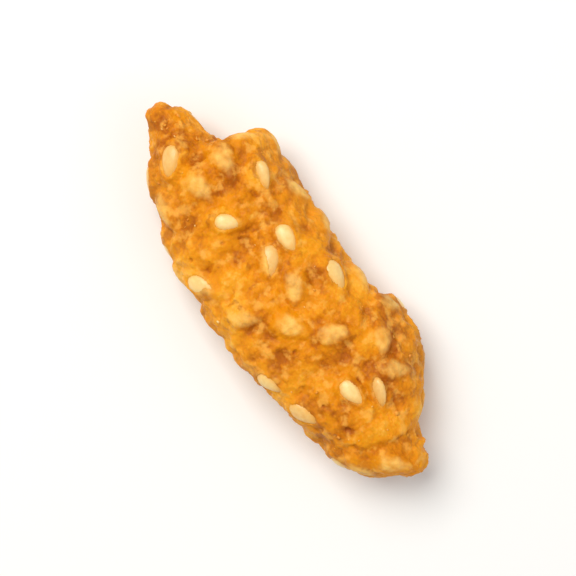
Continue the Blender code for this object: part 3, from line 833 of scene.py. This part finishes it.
def sesame_hull():
    """Hulled white sesame, baked in: waxy cream to straw colour, each seed of its own tone, with a soft
    gloss. Its rim is a darker gold, partly its own thin edge and partly painted shade on the sides, and its
    point is toasted."""
    material, tree, shader = new_material("hulled_sesame")
    place = add_node(tree, "TexCoord").outputs["Object"]
    tone, rim, toast = (
        add_node(tree, "Attribute", {"attribute_name": title}).outputs["Fac"]
        for title in ("tone", "rim", "toast")
    )
    # Faint mottling a third of a millimetre across.
    mottle = add_node(
        tree, "TexNoise", links={"Vector": place}, values={"Scale": 1 / (0.35 * MM), "Detail": 3}
    ).outputs["Fac"]
    mottled = add_node(
        tree,
        "Math",
        settings={"operation": "MULTIPLY_ADD"},
        links={0: mottle, 2: tone},
        values={1: 0.8},
    ).outputs[0]
    share = add_node(
        tree, "MapRange", links={"Value": mottled}, values={"From Min": 0.2, "From Max": 1.6}
    ).outputs["Result"]
    cream = ((0.0, "#e6b060"), (0.5, "#f8d084"), (1.0, "#ffe6a4"))
    hull = add_node(tree, "ValToRGB", links={"Fac": share}, stops=cream).outputs["Color"]
    # The golden rim is partly painted shade on the hull's sides; the toasted point is the seed's own
    # colour.
    for field, most, colour in ((rim, 0.7, "#eeaa44"), (toast, 0.75, "#d08a30")):
        cover = add_node(tree, "MapRange", links={"Value": field}, values={"To Max": most})
        over = {"Factor": cover.outputs["Result"], 6: hull}
        hull = add_node(tree, "Mix", {"data_type": "RGBA"}, over, {7: linear(colour)}).outputs[2]
    tree.links.new(hull, shader.inputs["Base Color"])
    bump = add_node(tree, "Bump", links={"Height": mottle}, values={"Strength": 0.5, "Distance": 0.04 * MM})
    tree.links.new(bump.outputs["Normal"], shader.inputs["Normal"])
    shader.inputs["Roughness"].default_value = 0.34
    shader.inputs["IOR"].default_value = 1.48
    shader.inputs["Subsurface Weight"].default_value = 0.3
    shader.inputs["Subsurface Radius"].default_value = (1.0, 0.7, 0.35)
    shader.inputs["Subsurface Scale"].default_value = 0.4 * MM
    return material


def fried_crumb():
    """Crumbs of the same dough and specks of flour, fried drier than the crust: gold to pale, and dull."""
    material, tree, shader = new_material("fried_crumbs")
    tone = add_node(tree, "Attribute", {"attribute_name": "tone"}).outputs["Fac"]
    golds = ((0.0, "#dd8a1c"), (0.5, "#ec9f2e"), (0.85, "#f5b450"), (1.0, "#fbd088"))
    dough = add_node(tree, "ValToRGB", links={"Fac": tone}, stops=golds).outputs["Color"]
    tree.links.new(dough, shader.inputs["Base Color"])
    shader.inputs["Roughness"].default_value = 0.55
    shader.inputs["Subsurface Weight"].default_value = 0.2
    shader.inputs["Subsurface Radius"].default_value = (1.0, 0.42, 0.12)
    shader.inputs["Subsurface Scale"].default_value = 0.3 * MM
    return material


def pale_floor():
    """A matt, near-white board under the stick."""
    material, _, shader = new_material("matt_white_board")
    shader.inputs["Base Color"].default_value = linear("#f4f4f2")
    shader.inputs["Roughness"].default_value = 0.9
    mesh = bpy.data.meshes.new("floor")
    corners = [(x * FLOOR_HALF, y * FLOOR_HALF, 0) for x, y in ((-1, -1), (1, -1), (1, 1), (-1, 1))]
    mesh.from_pydata(corners, (), ((0, 1, 2, 3),))
    mesh.materials.append(material)
    floor = bpy.data.objects.new("floor", mesh)
    bpy.context.scene.collection.objects.link(floor)


def soft_light(name, place, size, power, colour):
    """A square of soft light that faces the stick."""
    light = bpy.data.lights.new(name, "AREA")
    light.size, light.energy, light.color = size, power, linear(colour)[:3]
    lamp = bpy.data.objects.new(name, light)
    lamp.location = place
    lamp.rotation_euler = (-Vector(place)).to_track_quat("-Z", "Y").to_euler()
    bpy.context.scene.collection.objects.link(lamp)


def studio():
    """The photograph's light and view: straight down on the broad face, the strand running down to the
    right, a broad soft light above its start and a white surround that fills the shadows."""
    scene = bpy.context.scene
    scene.view_settings.view_transform = "Standard"
    world = bpy.data.worlds.new("studio")
    world.use_nodes = True
    surround = world.node_tree.nodes["Background"]
    surround.inputs["Color"].default_value = linear("#ffffff")
    surround.inputs["Strength"].default_value = 0.40
    scene.world = world
    soft_light("key", (-0.17, -0.02, 0.29), 0.22, 1.00, "#fffcf7")
    soft_light("fill", (0.24, 0.10, 0.16), 0.24, 0.22, "#f6f9ff")
    camera = bpy.data.cameras.new("camera")
    camera.lens, camera.clip_start, camera.clip_end = LENS, 0.005, 10
    eye = bpy.data.objects.new("camera", camera)
    eye.location = (0, 0, EYE_HEIGHT)
    eye.rotation_euler = (0, 0, np.radians(EYE_TURN))
    scene.collection.objects.link(eye)
    scene.camera = eye


def lay_on_solid(pieces, floor):
    """Moves all the grids from the strand's frame to where the solid lies: the middle of their box over the
    middle of its box, and the flat underside on its lowest level."""
    low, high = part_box("sesame_stick")
    reach = np.concatenate([grid.reshape(-1, 3) for grid in pieces])
    move = (np.array(low) + np.array(high)) / 2 - (reach.min(axis=0) + reach.max(axis=0)) / 2
    move[2] = low[2] - floor
    for grid in pieces:
        grid += move


studio()
pale_floor()
floor_height = crust_floor()
beds = seed_beds(floor_height)
crust, crust_normals, near_seeds, crust_fields = fried_crust(beds, floor_height)
seeds, seed_fields = sesame_seeds(beds)
crumbs, crumb_tones = clinging_crumbs(crust, crust_normals, near_seeds, floor_height)
lay_on_solid((crust, seeds, crumbs), floor_height)

crust_piece = make_piece("crust", fried_dough(), crust[None], crust_fields)
make_piece("seeds", sesame_hull(), seeds, seed_fields)
make_piece("crumbs", fried_crumb(), crumbs, {"tone": crumb_tones})
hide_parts("sesame_stick")
